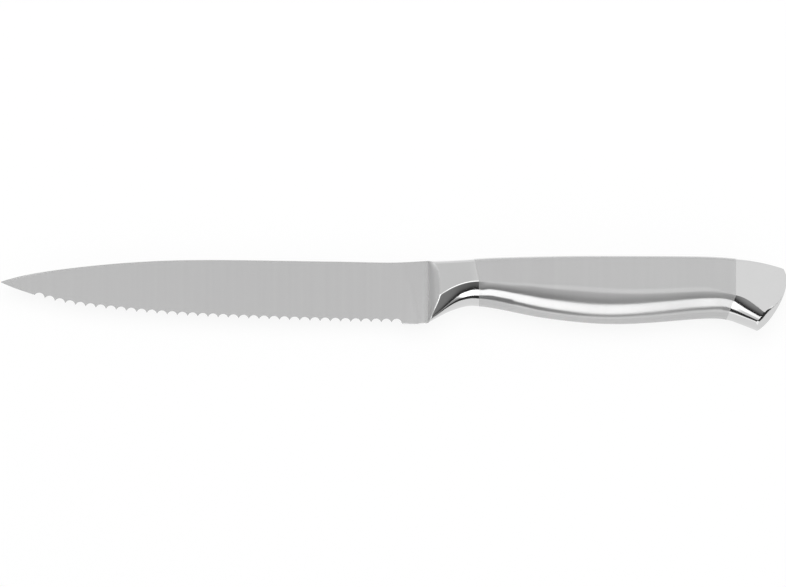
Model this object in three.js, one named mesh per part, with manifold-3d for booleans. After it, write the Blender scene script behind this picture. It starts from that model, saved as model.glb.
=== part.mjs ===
// A serrated utility knife in stainless steel, lying on its side: a stamped blade with its tang,
// a bolster, a hollow grip of two half shells, an end cap, and what holds them together inside.
//
// The knife is drawn in millimetres with the blade's tip towards -X, the spine towards +Y and the
// thickness along Z. While it is drawn, the origin is the spine where the blade meets the bolster.

import * as THREE from 'three';
import { mergeVertices } from 'three/addons/utils/BufferGeometryUtils.js';
import Module from 'manifold-3d';

const wasm = await Module();
wasm.setup();

// Blade
const BLADE_LENGTH = 130.7; // tip to bolster
const BLADE_HEIGHT = 18.85; // spine at the bolster down to the tooth line at the heel
const BLADE_STOCK = 1.8; // sheet thickness, kept at the spine and the heel
const TIP_THICKNESS = 0.6;
const EDGE_THICKNESS = 0.4; // at the tooth line, next to the heel
const PLUNGE_RADIUS = 14; // where the taper grind runs out before the bolster
const PLUNGE_SETBACK = 9; // from the bolster to the start of that run-out
const PLUNGE_SWEEP = 60; // degrees of the run-out's arc
const PLAIN_TIP = 10.5; // edge without scallops at the tip
const PLAIN_HEEL = 8.1; // edge without scallops at the heel
const HEEL_DROP = 0.56; // heel below the tooth line
const HEEL_ROUND = 2.9; // length of the heel's upward curve to the bolster
const SCALLOP_PITCH = 3.11;
const SCALLOP_RADIUS = 1.6;
const SCALLOP_GRIND = 24; // degrees between the scallops' grind and the blade's face
const TOOTH_LAND = 0.12; // width of a tooth's tip

// Tang, the blade's tail inside the handle
const TANG_LENGTH = 62;
const TANG_THICKNESS = 1.5;
const TANG_WALL = 1.65; // bolster's tongue above and below the tang
const TANG_ROOT = 4; // overlap with the blade plate

// Handle
const HANDLE_LENGTH = 109.3; // bolster to butt
const HANDLE_HEIGHT = 20.83; // tallest section of the grip
const HANDLE_THICKNESS = 16; // across the grip's flats
const BOLSTER_LENGTH = 14; // along the spine
const BOLSTER_LEAN = 1.45; // how much later the joint with the grip lies at the side crease
const BOLSTER_FRONT_THICKNESS = 11.6;
const BOLSTER_LIP = 0.25; // step from the blade's face to the bolster's front edge
const NOSE_SETBACK = 3.6; // length of the scooped front at mid height
const NOSE_AT_SPINE = 0.9; // its length at the spine
const NOSE_FADE = 2.6; // depth over which it grows
const NOSE_CURVE = 1.5; // power by which the scoop steepens from the blade to the flat
const CAP_LENGTH = 15.6; // from the joint with the grip to the butt, along the spine
const CAP_SWEEP = 2.7; // how much earlier that joint lies at the keel
const SPINE_ROUND = 0.8;
const SPINE_CROWN = 0.3;
const BUTT_EDGE = 0.4; // width of the butt's edge break along the flats
const BUTT_CHAMFER = 1.9; // its width at the lower corner
const CHAMFER_DROP = 1.7; // its fall for each millimetre of width
const CHAMFER_START = 0.55; // share of the flat's height where it starts to widen
const BUTT_UPPER_REACH = 3.75; // how far the butt's outline leaves along the spine's direction
const BUTT_LOWER_REACH = 9.5; // how far it arrives along the rear edge's direction
const REAR_LEAN = 36; // degrees from upright of the rear edge at the side crease
const CORNER_LEAN = 56; // degrees from upright of the rear edge at the lower corner
const GRIP_WALL = 1.2; // sheet of the half shells
const INNER_ROUND = 0.5; // corner radius inside the shells
const SPIGOT_LENGTH = 14; // bolster's tongue inside the grip
const CAP_SPIGOT_LENGTH = 8; // end cap's tongue inside the grip
const SPIGOT_ROOT = 0.3; // share of the bolster and of the cap that their tongues start in
const CAP_WALL = 2; // tongue's wall round the end cap's pocket
const CAP_POCKET = 7; // depth of that pocket behind the joint

// Pins and fits
const PIN_DIAMETER = 2.5;
const PIN_RECESS = 1; // pin ends below the tongue's faces
const PIN_CLEARANCE = 0.15;
const TANG_CLEARANCE = 0.15; // between the tang's faces and the bolster's slot
const FIT_CLEARANCE = 0.3; // tongues in the shells, filler round everything

// Guide curves seen from the side: [share of the length, share of the height, slope in those shares]
const BLADE_SPINE = [
  [0, -0.341, 2.29], [0.058, -0.233, 1.39], [0.187, -0.101, 0.77], [0.444, 0.012, 0.07],
  [0.771, -0.011, -0.08], [0.907, -0.028, -0.03], [1, 0, 0.42],
];
const BLADE_EDGE = [
  [0, -0.341, -3.4], [0.093, -0.577, -2.23], [0.28, -0.795, -0.78], [0.584, -0.932, -0.27],
  [0.939, -0.993, -0.02],
];
const HANDLE_SPINE = [
  [0, 0, 0], [0.201, 0.0485, 0.15], [0.4525, 0.0725, 0], [0.732, 0.0663, -0.05],
  [0.8715, 0.0269, -0.6], [0.9777, -0.1, -1.9],
];
const HANDLE_ARRIS = [
  [0, -0.638, 3.78], [0.034, -0.509, 3.78], [0.142, -0.307, 0], [0.369, -0.431, -0.47],
  [0.592, -0.498, 0], [0.76, -0.471, 0.1], [0.8575, -0.505, -1.05], [0.9553, -0.8373, -4.46],
];
const HANDLE_BELLY = [
  [0, -0.908, 2.89], [0.067, -0.728, 1.94], [0.128, -0.661, -0.35], [0.327, -0.841, -0.73],
  [0.525, -0.9275, 0], [0.659, -0.8925, 0.41], [0.793, -0.845, 0.06], [0.86, -0.906, -2.14],
  [0.918, -1.028, -2.36],
];

// The belly's section runs from the side crease to the keel: it leaves the flat at an angle and rounds under
const BELLY_SLOPE = 0.6;
const BELLY_POWER = 0.65;

// Facet counts
const CROWN_ROWS = 2;
const FILLET_ROWS = 3;
const BUTT_ROWS = 12; // along the end cap's flats, to follow the curved butt
const BELLY_ROWS = 9;
const NOSE_ROWS = [-1, 0, 0.3, 0.6, 1, 1.6, 2.4, 4, 9]; // in fade depths
const NOSE_STEPS = 5;
const BOLSTER_COLUMNS = 10;
const GRIP_COLUMNS = 26;
const CAP_COLUMNS = 8;
const BUTT_COLUMNS = 2;
const TONGUE_COLUMNS = 4;
const ROOT_COLUMNS = 2; // where a tongue starts inside its piece
const ROUND_SEGMENTS = 24;
const SCALLOP_SEGMENTS = 8;
const SPINE_STEPS = 40;
const TIP_STEPS = 6; // plain edge at the tip
const CURVE_SEGMENTS = 4; // short curves of the blade's outline

// Sizes that follow from these
const halfHandle = HANDLE_THICKNESS / 2;
const halfStock = BLADE_STOCK / 2;
const cutReach = 2 * (BLADE_HEIGHT + HANDLE_HEIGHT); // longer than any cut needs
const spigotInset = GRIP_WALL + FIT_CLEARANCE;
const origin = new THREE.Vector2();

// Geometry tools

/** A smooth curve through knots, as a function of the distance along the knife. */
function guide(knots, length, height, start) {
  const curves = knots.slice(1).map(([share, level, slope], i) => {
    const [share0, level0, slope0] = knots[i];
    const third = (share - share0) / 3;
    const place = (s, h) => new THREE.Vector2(start + s * length, h * height);
    return new THREE.CubicBezierCurve(
      place(share0, level0),
      place(share0 + third, level0 + slope0 * third),
      place(share - third, level - slope * third),
      place(share, level),
    );
  });
  return (x) => {
    const curve = curves.find((c) => x <= c.v3.x) ?? curves.at(-1);
    return curve.getPoint((x - curve.v0.x) / (curve.v3.x - curve.v0.x));
  };
}

/** Merges a mesh's vertices, drops empty triangles and turns its faces outwards. */
function closed(positions, indices) {
  const loose = new THREE.BufferGeometry();
  loose.setAttribute('position', new THREE.Float32BufferAttribute(positions, 3));
  loose.setIndex(indices);
  const merged = mergeVertices(loose);
  const index = merged.index.array;
  const point = (i) => new THREE.Vector3().fromBufferAttribute(merged.attributes.position, i);
  const kept = [];
  let volume = 0;
  for (let i = 0; i < index.length; i += 3) {
    const [a, b, c] = [index[i], index[i + 1], index[i + 2]];
    if (a === b || b === c || c === a) continue;
    volume += point(a).dot(point(b).cross(point(c)));
    kept.push([a, b, c]);
  }
  merged.setIndex(kept.flatMap(([a, b, c]) => (volume < 0 ? [a, c, b] : [a, b, c])));
  merged.computeVertexNormals();
  return merged;
}

/** Skins a row of closed rings. Each end is closed by a zip between a ring's first and second half. */
function loft(rings) {
  const count = rings[0].length;
  const positions = rings.flat().flatMap((p) => [p.x, p.y, p.z]);
  const indices = [];
  for (let r = 0; r + 1 < rings.length; r++) {
    for (let k = 0; k < count; k++) {
      const a = r * count + k;
      const b = r * count + ((k + 1) % count);
      indices.push(a, b, b + count, a, b + count, a + count);
    }
  }
  const last = (rings.length - 1) * count;
  for (let k = 0; k + 1 < count / 2; k++) {
    const [a, b, c, d] = [k, k + 1, count - 2 - k, count - 1 - k];
    indices.push(a, c, b, a, d, c);
    indices.push(last + a, last + b, last + c, last + a, last + c, last + d);
  }
  return closed(positions, indices);
}

/** A geometry as a solid that can be joined and cut. */
function solid(geometry) {
  const bare = geometry.clone();
  bare.deleteAttribute('normal');
  bare.deleteAttribute('uv');
  const merged = mergeVertices(bare);
  const { array: vertProperties } = merged.attributes.position;
  const triVerts = Uint32Array.from(merged.index.array);
  return new wasm.Manifold(new wasm.Mesh({ numProp: 3, vertProperties, triVerts }));
}

/** The way back from a solid to a geometry. */
function surface(body) {
  const mesh = body.getMesh();
  return closed(Array.from(mesh.vertProperties), Array.from(mesh.triVerts));
}

/** A flat outline made into a plate that is centred on the blade's middle plane. */
function plate(shape, thickness, curveSegments) {
  const geometry = new THREE.ExtrudeGeometry(shape, { depth: thickness, bevelEnabled: false, curveSegments });
  return geometry.translate(0, 0, -thickness / 2);
}

/** A round bar across the knife, at a point seen from the side. */
function crossBar(centre, diameter, length) {
  const bar = new THREE.CylinderGeometry(diameter / 2, diameter / 2, length, ROUND_SEGMENTS);
  return bar.rotateX(Math.PI / 2).translate(centre.x, centre.y, 0);
}

// Guide curves at their size
const bladeSpine = guide(BLADE_SPINE, BLADE_LENGTH, BLADE_HEIGHT, -BLADE_LENGTH);
const bladeEdge = guide(BLADE_EDGE, BLADE_LENGTH, BLADE_HEIGHT, -BLADE_LENGTH);
const handleSpine = guide(HANDLE_SPINE, HANDLE_LENGTH, HANDLE_HEIGHT, 0);
const handleArris = guide(HANDLE_ARRIS, HANDLE_LENGTH, HANDLE_HEIGHT, 0);
const handleBelly = guide(HANDLE_BELLY, HANDLE_LENGTH, HANDLE_HEIGHT, 0);

// Joint lines across the handle: where each one crosses the spine, the side crease and the belly
const bladeJoint = { spine: 0, arris: 0, belly: 0 };
const gripJoint = {
  spine: BOLSTER_LENGTH,
  arris: BOLSTER_LENGTH + BOLSTER_LEAN,
  belly: BOLSTER_LENGTH + BOLSTER_LEAN,
};
const capJoint = {
  spine: HANDLE_LENGTH - CAP_LENGTH,
  arris: HANDLE_LENGTH - CAP_LENGTH,
  belly: HANDLE_LENGTH - CAP_LENGTH - CAP_SWEEP,
};
const butt = {
  spine: HANDLE_SPINE.at(-1)[0] * HANDLE_LENGTH,
  arris: HANDLE_ARRIS.at(-1)[0] * HANDLE_LENGTH,
  belly: HANDLE_BELLY.at(-1)[0] * HANDLE_LENGTH,
};

// The tang runs through the middle of that first joint, with a wall of the bolster's tongue on both sides
const jointTop = handleSpine(gripJoint.spine).y;
const jointBottom = handleBelly(gripJoint.belly).y;
const tangLevel = (jointTop + jointBottom) / 2;
const tangHeight = jointTop - jointBottom - 2 * (spigotInset + TANG_WALL + FIT_CLEARANCE);

/** The section of the handle that lies at a share of the way from one joint line to the next. */
function between(from, to, share, half = halfHandle) {
  const along = (key) => THREE.MathUtils.lerp(from[key], to[key], share);
  return {
    spine: handleSpine(along('spine')),
    arris: handleArris(along('arris')),
    belly: handleBelly(along('belly')),
    half,
    share,
  };
}

const gripSection = (share) => between(gripJoint, capJoint, share);

/** The bolster swells from its front thickness to the grip's and meets the grip without a kink. */
function bolsterSection(share) {
  const front = BOLSTER_FRONT_THICKNESS / 2;
  return between(bladeJoint, gripJoint, share, front + (halfHandle - front) * share * (2 - share));
}

const capSection = (share) => between(capJoint, butt, share);

/** One side of a section, from the middle of the spine round to the keel, set in by a wall. */
function halfRing(section, inset, flatRows = 1) {
  const { spine, arris, belly, half } = section;
  const fall = arris.clone().sub(spine);
  const depth = fall.length();
  const z = half - inset;
  const round = inset > 0 ? INNER_ROUND : SPINE_ROUND;
  const crown = inset > 0 ? 0 : SPINE_CROWN;
  const points = [];
  const put = (down, across) => {
    const share = (inset + down) / depth;
    const place = spine.clone().addScaledVector(fall, share);
    points.push({ place, z: across, flatShare: share, bellyShare: 0 });
  };
  for (let i = 0; i <= CROWN_ROWS; i++) {
    const share = i / CROWN_ROWS;
    put(crown * share * share, (z - round) * share);
  }
  for (let i = 1; i <= FILLET_ROWS; i++) {
    const angle = (Math.PI / 2) * (i / FILLET_ROWS);
    put(crown + round * (1 - Math.cos(angle)), z - round + round * Math.sin(angle));
  }
  const flatTop = crown + round;
  steps(flatRows, flatTop, depth - inset).slice(1).forEach((down) => put(down, z));
  const keel = belly.clone().lerp(arris, inset / belly.distanceTo(arris));
  for (let i = 1; i <= BELLY_ROWS; i++) {
    const share = Math.sin((Math.PI / 2) * (i / BELLY_ROWS));
    const left = 1 - BELLY_SLOPE * share - (1 - BELLY_SLOPE) * share * share;
    const across = i === BELLY_ROWS ? 0 : z * left ** BELLY_POWER;
    points.push({ place: arris.clone().lerp(keel, share), z: across, flatShare: 1, bellyShare: share });
  }
  return points;
}

const toSpace = (side) => (p) => new THREE.Vector3(p.place.x, p.place.y, side * p.z);

/** A section all round: one side, then the other side back to the spine. */
function fullRing(points) {
  return [...points.map(toSpace(1)), ...points.toReversed().map(toSpace(-1))];
}

/** Shares from one value to another in equal steps. */
function steps(count, from = 0, to = 1) {
  return Array.from({ length: count + 1 }, (_, i) => THREE.MathUtils.lerp(from, to, i / count));
}

// Blade
function makeBlade() {
  const serratedFrom = -BLADE_LENGTH + PLAIN_TIP;
  const serratedTo = -PLAIN_HEEL;
  const scallops = Math.round((serratedTo - serratedFrom) / SCALLOP_PITCH);
  const teeth = steps(scallops, serratedFrom, serratedTo).map(bladeEdge);
  const tip = bladeEdge(-BLADE_LENGTH);
  const heel = teeth.at(-1).clone().add(new THREE.Vector2(HEEL_DROP / 2, -HEEL_DROP));

  const outline = new THREE.Shape();
  outline.moveTo(tip.x, tip.y);
  outline.splineThru(steps(TIP_STEPS, tip.x, serratedFrom).slice(1).map(bladeEdge));
  teeth.slice(1).forEach((tooth) => outline.lineTo(tooth.x, tooth.y));
  outline.lineTo(heel.x, heel.y);
  outline.lineTo(-HEEL_ROUND, heel.y);
  outline.quadraticCurveTo(-HEEL_ROUND / 3, heel.y, 0, handleBelly(0).y);
  outline.lineTo(0, 0);
  steps(SPINE_STEPS, 0, tip.x).slice(1, -1).map(bladeSpine).forEach((p) => outline.lineTo(p.x, p.y));
  outline.closePath();

  // The taper grind is a plane on each side: thin at the tip and the edge, full at the spine by the heel
  const high = bladeSpine(serratedTo);
  const grind = new THREE.Plane().setFromCoplanarPoints(
    new THREE.Vector3(tip.x, tip.y, TIP_THICKNESS / 2),
    new THREE.Vector3(teeth.at(-1).x, teeth.at(-1).y, EDGE_THICKNESS / 2),
    new THREE.Vector3(high.x, high.y, halfStock),
  );
  const faceAt = (p) => -(grind.normal.x * p.x + grind.normal.y * p.y + grind.constant) / grind.normal.z;

  let blade = solid(plate(outline, BLADE_STOCK, CURVE_SEGMENTS));
  const ground = solid(grindCutter(grind, faceAt));
  blade = blade.subtract(ground).subtract(ground.mirror([0, 0, 1]));
  teeth.slice(1).forEach((tooth, i) => {
    blade = blade.subtract(solid(scallopCutter(teeth[i], tooth, faceAt)));
  });
  return surface(blade.add(solid(plate(tangOutline(), TANG_THICKNESS, ROUND_SEGMENTS / 2))));
}

/** What a wide wheel takes off one face: a plane with a rounded end before the bolster. */
function grindCutter(grind, faceAt) {
  const profile = new THREE.Shape();
  profile.moveTo(-cutReach - BLADE_LENGTH, 0);
  profile.lineTo(0, 0);
  const runOut = THREE.MathUtils.degToRad(PLUNGE_SWEEP) - Math.PI / 2;
  profile.absarc(0, PLUNGE_RADIUS, PLUNGE_RADIUS, -Math.PI / 2, runOut, false);
  profile.lineTo(PLUNGE_RADIUS, cutReach);
  profile.lineTo(-cutReach - BLADE_LENGTH, cutReach);
  profile.closePath();
  const cutter = new THREE.ExtrudeGeometry(profile, {
    depth: 2 * cutReach, bevelEnabled: false, curveSegments: ROUND_SEGMENTS / 2,
  });
  cutter.translate(0, 0, -cutReach);
  const along = new THREE.Vector3(1, 0, 0).projectOnPlane(grind.normal).normalize();
  const across = along.clone().cross(grind.normal);
  const start = new THREE.Vector2(-PLUNGE_SETBACK, bladeEdge(-PLUNGE_SETBACK).y);
  const turn = new THREE.Matrix4().makeBasis(along, grind.normal, across);
  cutter.applyMatrix4(turn.setPosition(start.x, start.y, faceAt(start)));
  return cutter;
}

/** One scallop: a round cutter that leans, so that its bevel lies on the far face alone. */
function scallopCutter(from, to, faceAt) {
  const middle = from.clone().lerp(to, 0.5);
  const chord = to.clone().sub(from);
  const halfWidth = (chord.length() - TOOTH_LAND) / 2;
  const radius = (SCALLOP_RADIUS * chord.length()) / Math.abs(chord.x);
  const offset = Math.sqrt(Math.max(radius ** 2 - halfWidth ** 2, 0));
  const outward = new THREE.Vector2(chord.y, -chord.x).normalize();
  const lean = 1 / Math.tan(THREE.MathUtils.degToRad(SCALLOP_GRIND));
  const start = middle.clone().addScaledVector(outward, offset - faceAt(middle) * lean);
  const slot = new THREE.Shape();
  slot.absarc(0, 0, radius, 0, Math.PI, false);
  slot.lineTo(-radius, -2 * radius);
  slot.lineTo(radius, -2 * radius);
  slot.closePath();
  const shear = new THREE.Matrix4().set(
    -outward.y, -outward.x, outward.x * lean, start.x,
    outward.x, -outward.y, outward.y * lean, start.y,
    0, 0, 1, 0,
    0, 0, 0, 1,
  );
  return plate(slot, 4 * BLADE_STOCK, SCALLOP_SEGMENTS).applyMatrix4(shear);
}

/** Where the two cross pins pass: a quarter and three quarters along the bolster's tongue. */
function pinCentres() {
  return [1 / 4, 3 / 4].map((share) => new THREE.Vector2(gripJoint.arris + SPIGOT_LENGTH * share, tangLevel));
}

/** The tang: a straight bar with a round end and two pin holes. */
function tangOutline() {
  const half = tangHeight / 2;
  const shape = new THREE.Shape();
  shape.moveTo(-TANG_ROOT, tangLevel - half);
  shape.lineTo(TANG_LENGTH - half, tangLevel - half);
  shape.absarc(TANG_LENGTH - half, tangLevel, half, -Math.PI / 2, Math.PI / 2, false);
  shape.lineTo(-TANG_ROOT, tangLevel + half);
  shape.closePath();
  pinCentres().forEach((centre) => {
    const hole = new THREE.Path();
    hole.absarc(centre.x, centre.y, PIN_DIAMETER / 2 + PIN_CLEARANCE, 0, 2 * Math.PI, true);
    shape.holes.push(hole);
  });
  return shape;
}

/** The room that the tang takes, from the blade's shoulder to past its end. */
function tangRoom(heightClearance, thicknessClearance) {
  const room = new THREE.BoxGeometry(
    TANG_LENGTH + FIT_CLEARANCE + TANG_ROOT,
    tangHeight + 2 * heightClearance,
    TANG_THICKNESS + 2 * thicknessClearance,
  );
  return room.translate((TANG_LENGTH + FIT_CLEARANCE - TANG_ROOT) / 2, tangLevel, 0);
}

// Bolster
function makeBolster() {
  const body = loft(steps(BOLSTER_COLUMNS).map((share) => fullRing(halfRing(bolsterSection(share), 0))));
  const tongueEnd = SPIGOT_LENGTH / (capJoint.spine - gripJoint.spine);
  const tongue = loft([
    ...steps(ROOT_COLUMNS, 1 - SPIGOT_ROOT, 1).map(bolsterSection),
    ...steps(TONGUE_COLUMNS, 0, tongueEnd).slice(1).map(gripSection),
  ].map((section) => fullRing(halfRing(section, spigotInset))));
  const scoop = solid(noseCutter());
  let bolster = solid(body).subtract(scoop).subtract(scoop.mirror([0, 0, 1])).add(solid(tongue));
  bolster = bolster.subtract(solid(tangRoom(FIT_CLEARANCE, TANG_CLEARANCE)));
  pinCentres().forEach((centre) => {
    const hole = crossBar(centre, PIN_DIAMETER + 2 * PIN_CLEARANCE, 2 * HANDLE_THICKNESS);
    bolster = bolster.subtract(solid(hole));
  });
  return surface(bolster);
}

/** The scooped front of the bolster on one side: it rises from the blade's face to the bolster's flat. */
function noseCutter() {
  const floor = halfStock + BOLSTER_LIP;
  const flat = BOLSTER_FRONT_THICKNESS / 2;
  const top = flat + HANDLE_THICKNESS;
  return loft(NOSE_ROWS.map((row) => {
    const fade = 1 - Math.exp(-Math.max(row, 0));
    const length = THREE.MathUtils.lerp(NOSE_AT_SPINE, NOSE_SETBACK, fade);
    const sweep = steps(NOSE_STEPS).map((s) => [length * s, floor + (flat - floor) * s ** NOSE_CURVE]);
    const beyond = (length * HANDLE_THICKNESS) / (NOSE_CURVE * (flat - floor));
    const profile = [[-NOSE_SETBACK, floor], ...sweep, [length + beyond, top], [-NOSE_SETBACK, top]];
    return profile.map(([x, z]) => new THREE.Vector3(x, -row * NOSE_FADE, z));
  }));
}

// Grip shells
function makeGripShell(side) {
  return loft(steps(GRIP_COLUMNS).map((share) => {
    const section = gripSection(share);
    const outer = halfRing(section, 0).map(toSpace(side));
    const inner = halfRing(section, GRIP_WALL).map(toSpace(side));
    return [...outer, ...inner.toReversed()];
  }));
}

// End cap
function makeEndCap() {
  const span = capJoint.spine - gripJoint.spine;
  const tongue = loft([
    ...steps(TONGUE_COLUMNS, 1 - CAP_SPIGOT_LENGTH / span, 1).map(gripSection),
    ...steps(ROOT_COLUMNS, 0, SPIGOT_ROOT).slice(1).map(capSection),
  ].map((section) => fullRing(halfRing(section, spigotInset))));
  const columns = [
    ...steps(CAP_COLUMNS).map((share) => ({ share, broken: 0 })),
    ...steps(BUTT_COLUMNS).slice(1).map((broken) => ({ share: 1, broken })),
  ];
  const pocket = loft([
    ...steps(TONGUE_COLUMNS, 1 - (CAP_SPIGOT_LENGTH + FIT_CLEARANCE) / span, 1).map(gripSection),
    ...steps(ROOT_COLUMNS, 0, CAP_POCKET / CAP_LENGTH).slice(1).map(capSection),
  ].map((section) => fullRing(halfRing(section, spigotInset + CAP_WALL))));
  return surface(solid(loft(columns.map(capRing))).add(solid(tongue)).subtract(solid(pocket)));
}

/** A ring of the end cap. The butt's outline bulges, and a chamfer that widens downwards breaks its edge. */
function capRing({ share, broken }) {
  const joint = halfRing(capSection(0), 0, BUTT_ROWS);
  const [upper, lower] = buttOutline();
  const points = joint.map((start, i) => {
    const [curve, at] = start.bellyShare > 0 ? [lower, start.bellyShare] : [upper, start.flatShare];
    const edge = curve.getPointAt(at);
    const bulge = edge.clone().sub(curve.v0.clone().lerp(curve.v3, at));
    const chamfer = chamferWidth(start);
    const inner = 1 - chamfer / start.place.distanceTo(edge);
    const along = share * inner + broken * (1 - inner);
    const { place, z } = halfRing(capSection(along), 0, BUTT_ROWS)[i];
    const drop = Math.min(chamfer * CHAMFER_DROP, z / 2) * broken;
    return { place: place.addScaledVector(bulge, along), z: z - drop };
  });
  return fullRing(points);
}

/** How far the broken edge reaches in from the butt's outline. */
function chamferWidth({ flatShare, bellyShare }) {
  const grown = bellyShare > 0 ? 1 - bellyShare : THREE.MathUtils.smoothstep(flatShare, CHAMFER_START, 1);
  return THREE.MathUtils.lerp(BUTT_EDGE, BUTT_CHAMFER, grown);
}

/** The butt seen from the side: from the spine down to the side crease, and on to the lower corner. */
function buttOutline() {
  const { spine, arris, belly } = capSection(1);
  const spineWay = spine.clone().sub(handleSpine(butt.spine - 1)).normalize();
  const rearWay = new THREE.Vector2(0, -1).rotateAround(origin, THREE.MathUtils.degToRad(-REAR_LEAN));
  const cornerWay = new THREE.Vector2(0, -1).rotateAround(origin, THREE.MathUtils.degToRad(-CORNER_LEAN));
  const reach = arris.distanceTo(belly) / 3;
  const upper = new THREE.CubicBezierCurve(
    spine,
    spine.clone().addScaledVector(spineWay, BUTT_UPPER_REACH),
    arris.clone().addScaledVector(rearWay, -BUTT_LOWER_REACH),
    arris,
  );
  const lower = new THREE.CubicBezierCurve(
    arris,
    arris.clone().addScaledVector(rearWay, reach),
    belly.clone().addScaledVector(cornerWay, -reach),
    belly,
  );
  return [upper, lower];
}

// Filler
function makeFillerCore() {
  const span = capJoint.spine - gripJoint.spine;
  const from = (SPIGOT_LENGTH + FIT_CLEARANCE) / span;
  const to = 1 - (CAP_SPIGOT_LENGTH + FIT_CLEARANCE) / span;
  const sections = steps(GRIP_COLUMNS / 2, from, to).map(gripSection);
  const body = loft(sections.map((section) => fullRing(halfRing(section, spigotInset))));
  return surface(solid(body).subtract(solid(tangRoom(FIT_CLEARANCE, FIT_CLEARANCE))));
}

// Finishes
const satin = { color: 0xbfbfbf, roughness: 0.35, metalness: 1 };
const polished = { color: 0xd2d2d2, roughness: 0.08, metalness: 1 };
const plainSteel = { color: 0xa8a8a8, roughness: 0.45, metalness: 1 };
const resin = { color: 0x6f6a60, roughness: 0.8, metalness: 0 };

// Assembly
const knife = new THREE.Group();

function addPiece(name, geometry, finish) {
  const mesh = new THREE.Mesh(geometry, new THREE.MeshStandardMaterial(finish));
  mesh.name = name;
  knife.add(mesh);
}

addPiece('blade', makeBlade(), satin);
addPiece('bolster', makeBolster(), polished);
addPiece('grip_shell_left', makeGripShell(1), satin);
addPiece('grip_shell_right', makeGripShell(-1), satin);
addPiece('end_cap', makeEndCap(), polished);
addPiece('filler_core', makeFillerCore(), resin);
['tang_pin_front', 'tang_pin_rear'].forEach((name, i) => {
  const length = HANDLE_THICKNESS - 2 * (spigotInset + PIN_RECESS);
  addPiece(name, crossBar(pinCentres()[i], PIN_DIAMETER, length), plainSteel);
});

// The finished knife lies on its right side, with the middle of its footprint at the origin
const box = new THREE.Box3().setFromObject(knife);
const centre = box.getCenter(new THREE.Vector3());
knife.position.set(-centre.x, -centre.y, -box.min.z);

export default knife;
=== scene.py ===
"""A serrated utility knife in stainless steel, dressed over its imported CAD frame.

The knife lies on its right side, with its tip towards -X, its spine towards +Y and its left face up.
Each piece is modelled about a datum, the spine where the blade meets the bolster, halfway through the
blade's thickness, and is then moved to the frame's place.
"""

import math
from collections import namedtuple

import bmesh
import bpy
from bpy.props import FloatProperty, FloatVectorProperty, PointerProperty
from mathutils import Matrix, Vector
from mathutils.geometry import interpolate_bezier


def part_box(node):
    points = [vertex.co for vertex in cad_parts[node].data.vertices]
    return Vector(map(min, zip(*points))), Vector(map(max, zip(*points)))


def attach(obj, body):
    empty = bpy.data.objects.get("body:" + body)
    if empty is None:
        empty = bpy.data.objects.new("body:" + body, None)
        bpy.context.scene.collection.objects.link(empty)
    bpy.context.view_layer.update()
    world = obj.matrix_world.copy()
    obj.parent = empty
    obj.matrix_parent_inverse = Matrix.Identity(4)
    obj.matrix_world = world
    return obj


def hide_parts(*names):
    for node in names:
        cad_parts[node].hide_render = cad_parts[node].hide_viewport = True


bl_info = {
    "name": "Serrated Knife",
    "version": (1, 0, 0),
    "blender": (4, 5, 0),
    "location": "3D View > Sidebar > Knife",
    "description": "Models a serrated utility knife and its studio round a CAD frame",
    "category": "Object",
}

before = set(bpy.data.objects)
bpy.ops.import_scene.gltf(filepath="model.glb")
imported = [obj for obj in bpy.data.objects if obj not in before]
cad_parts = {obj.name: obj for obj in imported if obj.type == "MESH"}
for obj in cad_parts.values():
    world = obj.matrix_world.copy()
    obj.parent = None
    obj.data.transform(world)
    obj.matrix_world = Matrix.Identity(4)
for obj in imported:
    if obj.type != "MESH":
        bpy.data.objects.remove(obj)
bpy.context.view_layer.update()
MM = 0.001
BODY = "root"

# How far the studio's cards stand from the knife, and the near ones from their place on it
CARD_DISTANCE = 0.6
NEAR_DISTANCE = 0.025

# Points closer than these are one: on the mirror plane, along the seams and in a shell
MIRROR_MERGE = 0.001 * MM
SEAM_MERGE = 0.006 * MM
SHELL_MERGE = 0.002 * MM

# Faces that turn by more than this meet in a sharp edge
SHARP_ANGLE = math.radians(20)

# Guide curves seen from the side: share of the length, share of the height, slope in those shares
BLADE_SPINE = (
    (0, -0.341, 2.29), (0.058, -0.233, 1.39), (0.187, -0.101, 0.77), (0.444, 0.012, 0.07),
    (0.771, -0.011, -0.08), (0.907, -0.028, -0.03), (1, 0, 0.42),
)
BLADE_EDGE = (
    (0, -0.341, -3.4), (0.093, -0.577, -2.23), (0.28, -0.795, -0.78), (0.584, -0.932, -0.27),
    (0.939, -0.993, -0.02),
)
HANDLE_SPINE = (
    (0, 0, 0), (0.201, 0.0485, 0.15), (0.4525, 0.0725, 0), (0.732, 0.0663, -0.05),
    (0.8715, 0.0269, -0.6), (0.9777, -0.1, -1.9),
)
HANDLE_CREASE = (
    (0, -0.638, 3.78), (0.034, -0.509, 3.78), (0.142, -0.307, 0), (0.369, -0.431, -0.47),
    (0.592, -0.498, 0), (0.76, -0.471, 0.1), (0.8575, -0.505, -1.05), (0.9553, -0.8373, -4.46),
)
HANDLE_BELLY = (
    (0, -0.908, 2.89), (0.067, -0.728, 1.94), (0.128, -0.661, -0.35), (0.327, -0.841, -0.73),
    (0.525, -0.9275, 0), (0.659, -0.8925, 0.41), (0.793, -0.845, 0.06), (0.86, -0.906, -2.14),
    (0.918, -1.028, -2.36),
)

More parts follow.
